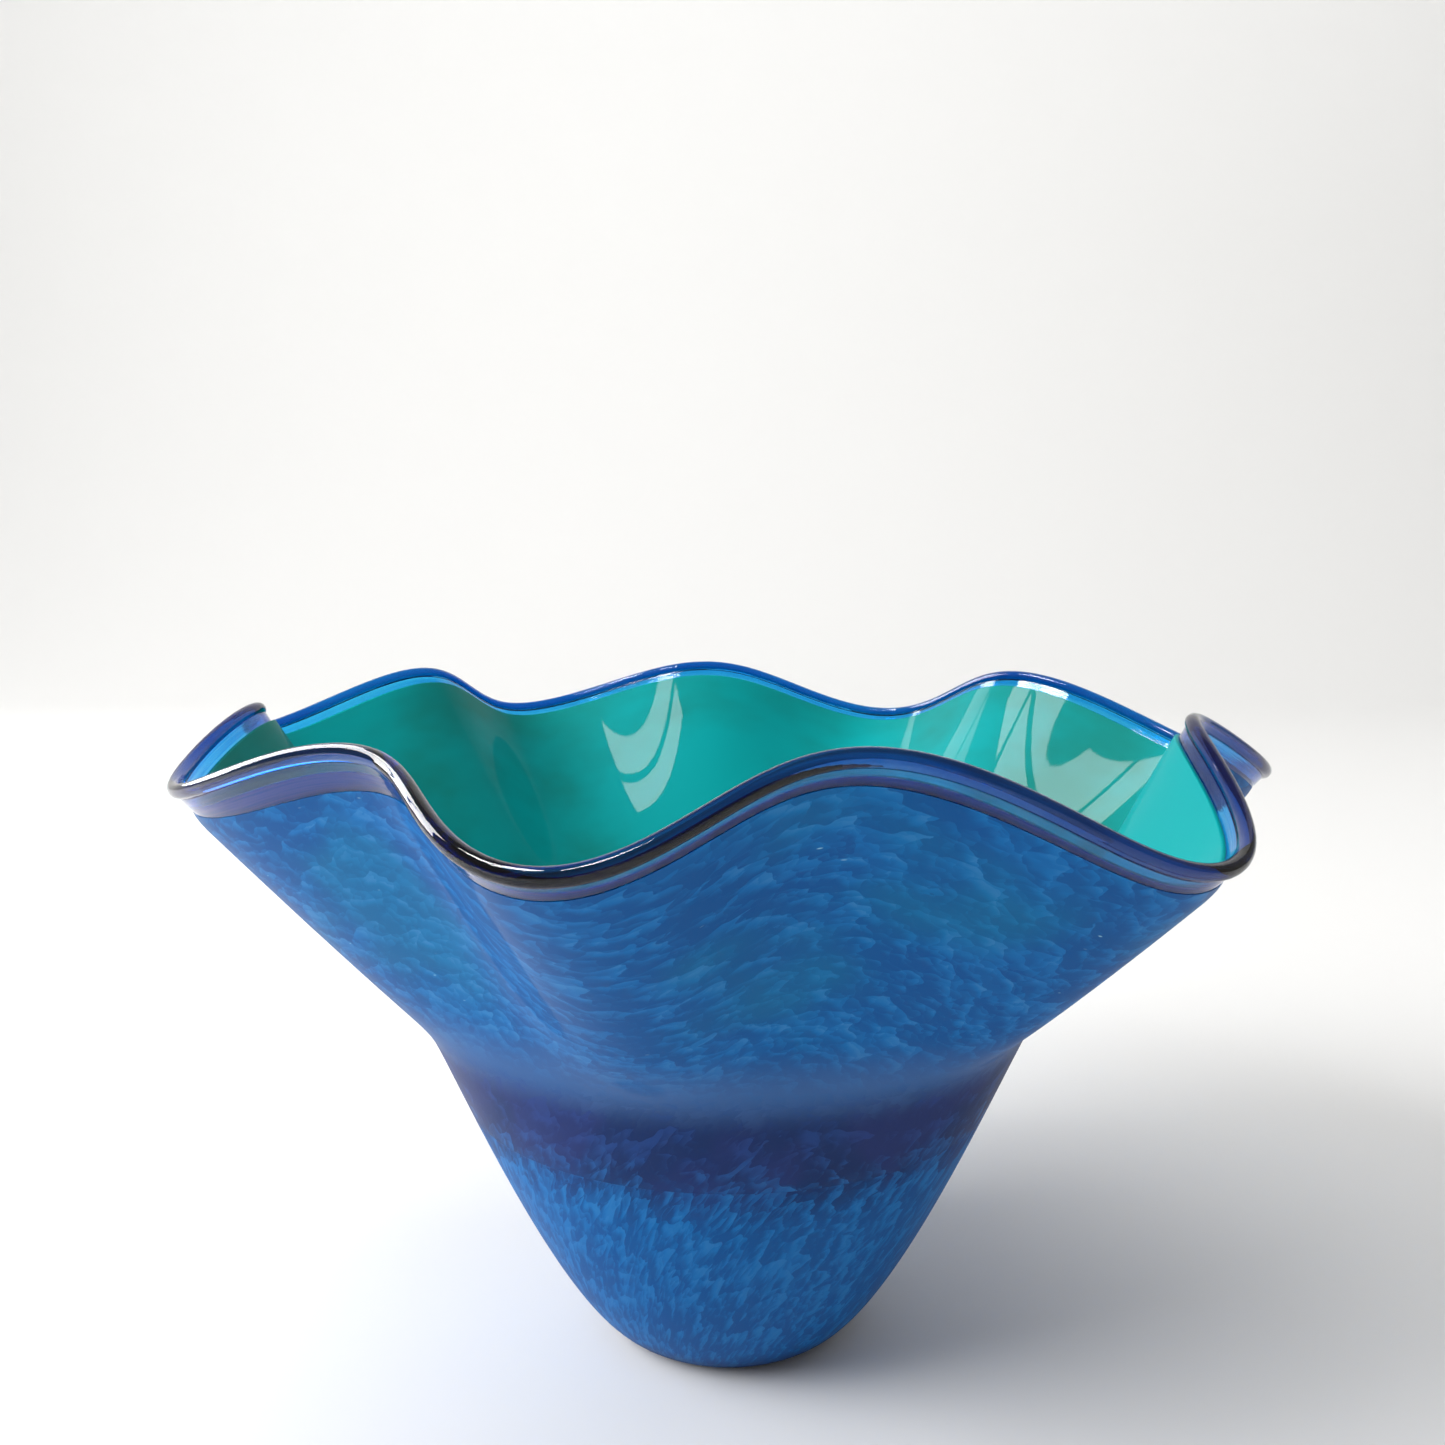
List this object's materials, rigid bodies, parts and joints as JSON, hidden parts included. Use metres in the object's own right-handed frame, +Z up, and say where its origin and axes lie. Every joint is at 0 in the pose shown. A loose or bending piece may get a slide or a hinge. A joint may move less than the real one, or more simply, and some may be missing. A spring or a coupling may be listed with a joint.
{
  "type": "art glass bowl",
  "caption": "Free-standing blown glass bowl: round cup, dark band below the bend, ruffled flare with a thick rounded lip and a turquoise lining.",
  "frame": {"origin": "centre of the base, on the surface the bowl stands on", "axes": "+Z up along the axis of the round cup, -Y towards the side with the deepest pair of folds, +X to its right"},
  "size_m": [0.2952, 0.2994, 0.1784],
  "materials": {
    "lining_glass": "opaque, fire-polished gloss",
    "gather_glass": "clear, fire-polished gloss",
    "lip_glass": "clear, fire-polished gloss",
    "flare_glass": "opaque mottled, satin gloss",
    "band_glass": "opaque mottled, satin",
    "foot_glass": "opaque mottled, satin",
    "punty_glass": "clear, ground flat and polished"
  },
  "bodies": {
    "root": {"lining": "lining_glass", "blue_gather": "gather_glass", "lip_bead": "lip_glass", "flare_frit": "flare_glass", "indigo_band": "band_glass", "foot_frit": "foot_glass", "punty_glass": "punty_glass"}
  },
  "joints": []
}
